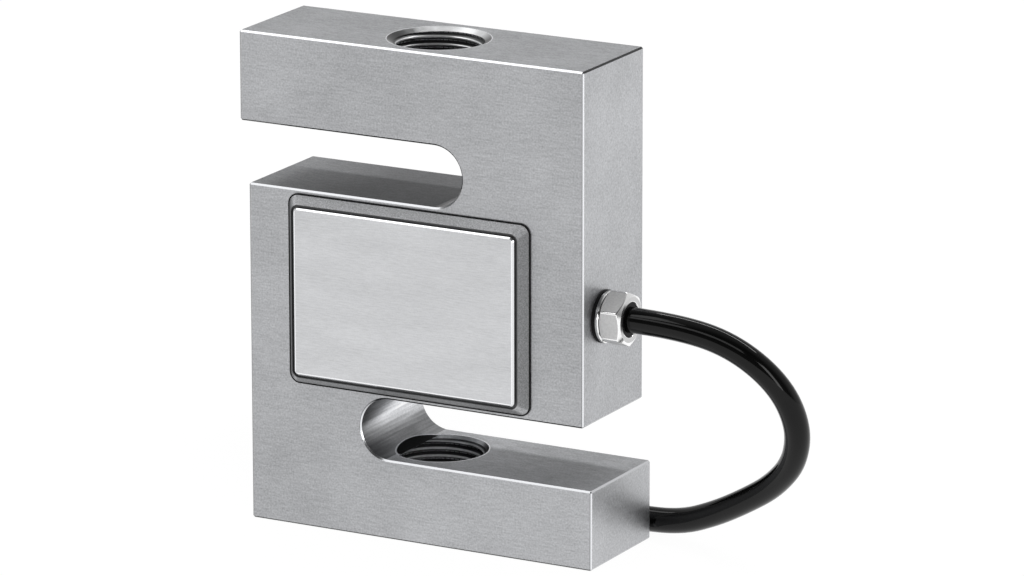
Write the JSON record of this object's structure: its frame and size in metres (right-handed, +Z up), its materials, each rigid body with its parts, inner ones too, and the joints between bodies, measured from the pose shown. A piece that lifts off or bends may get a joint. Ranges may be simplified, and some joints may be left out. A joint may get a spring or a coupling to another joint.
{
  "type": "s type load cell",
  "caption": "S shaped steel load cell with threaded holes top and bottom, side covers, and a cable gland with its lead.",
  "frame": {"origin": "where the axis of the two threaded holes meets the bottom face", "axes": "+Z up along the load axis, +X towards the cable gland, -Y towards the front cover that the picture shows"},
  "size_m": [0.1554, 0.0962, 0.1016],
  "materials": {
    "body_steel": "fine brushed stainless steel, grain along the faces",
    "cover_steel": "brushed plate with blasted grey slopes",
    "seal_rubber": "black rubber",
    "gland_plating": "bright nickel plating",
    "ring_brass": "plain brass",
    "gauge_film": "amber polyimide film with metal foil",
    "board_adhesive": "cured adhesive",
    "board_laminate": "green glass laminate",
    "resistor_body": "black glazed resistor",
    "wire_enamel": "copper coloured enamel",
    "core_red": "red insulation",
    "core_black": "black insulation",
    "core_green": "green insulation",
    "core_white": "white insulation",
    "cable_jacket": "glossy black cable jacket",
    "tie_nylon": "black nylon",
    "sleeve_shrink": "black heat shrink sleeve"
  },
  "bodies": {
    "root": {"s_body": "body_steel", "front_cover": "cover_steel", "rear_cover": "cover_steel", "front_cover_seal": "seal_rubber", "rear_cover_seal": "seal_rubber", "gland_seal_ring": "seal_rubber", "gland_body": "gland_plating", "gland_nut": "gland_plating", "gland_clamp_ring": "ring_brass", "gland_bush": "seal_rubber", "front_gauge_left": "gauge_film", "front_gauge_right": "gauge_film", "rear_gauge_left": "gauge_film", "rear_gauge_right": "gauge_film", "front_board_bed": "board_adhesive", "rear_board_bed": "board_adhesive", "front_terminal_board": "board_laminate", "rear_terminal_board": "board_laminate", "span_resistor": "resistor_body", "balance_resistor": "resistor_body", "front_gauge_wires": "wire_enamel", "rear_gauge_wires": "wire_enamel", "link_wires": "wire_enamel", "core_red": "core_red", "core_black": "core_black", "core_green": "core_green", "core_white": "core_white", "cable_lead": "cable_jacket", "cable_coil": "cable_jacket", "coil_tie_left": "tie_nylon", "coil_tie_right": "tie_nylon", "end_sleeve": "sleeve_shrink", "end_core_red": "core_red", "end_core_black": "core_black", "end_core_green": "core_green", "end_core_white": "core_white"}
  },
  "joints": []
}
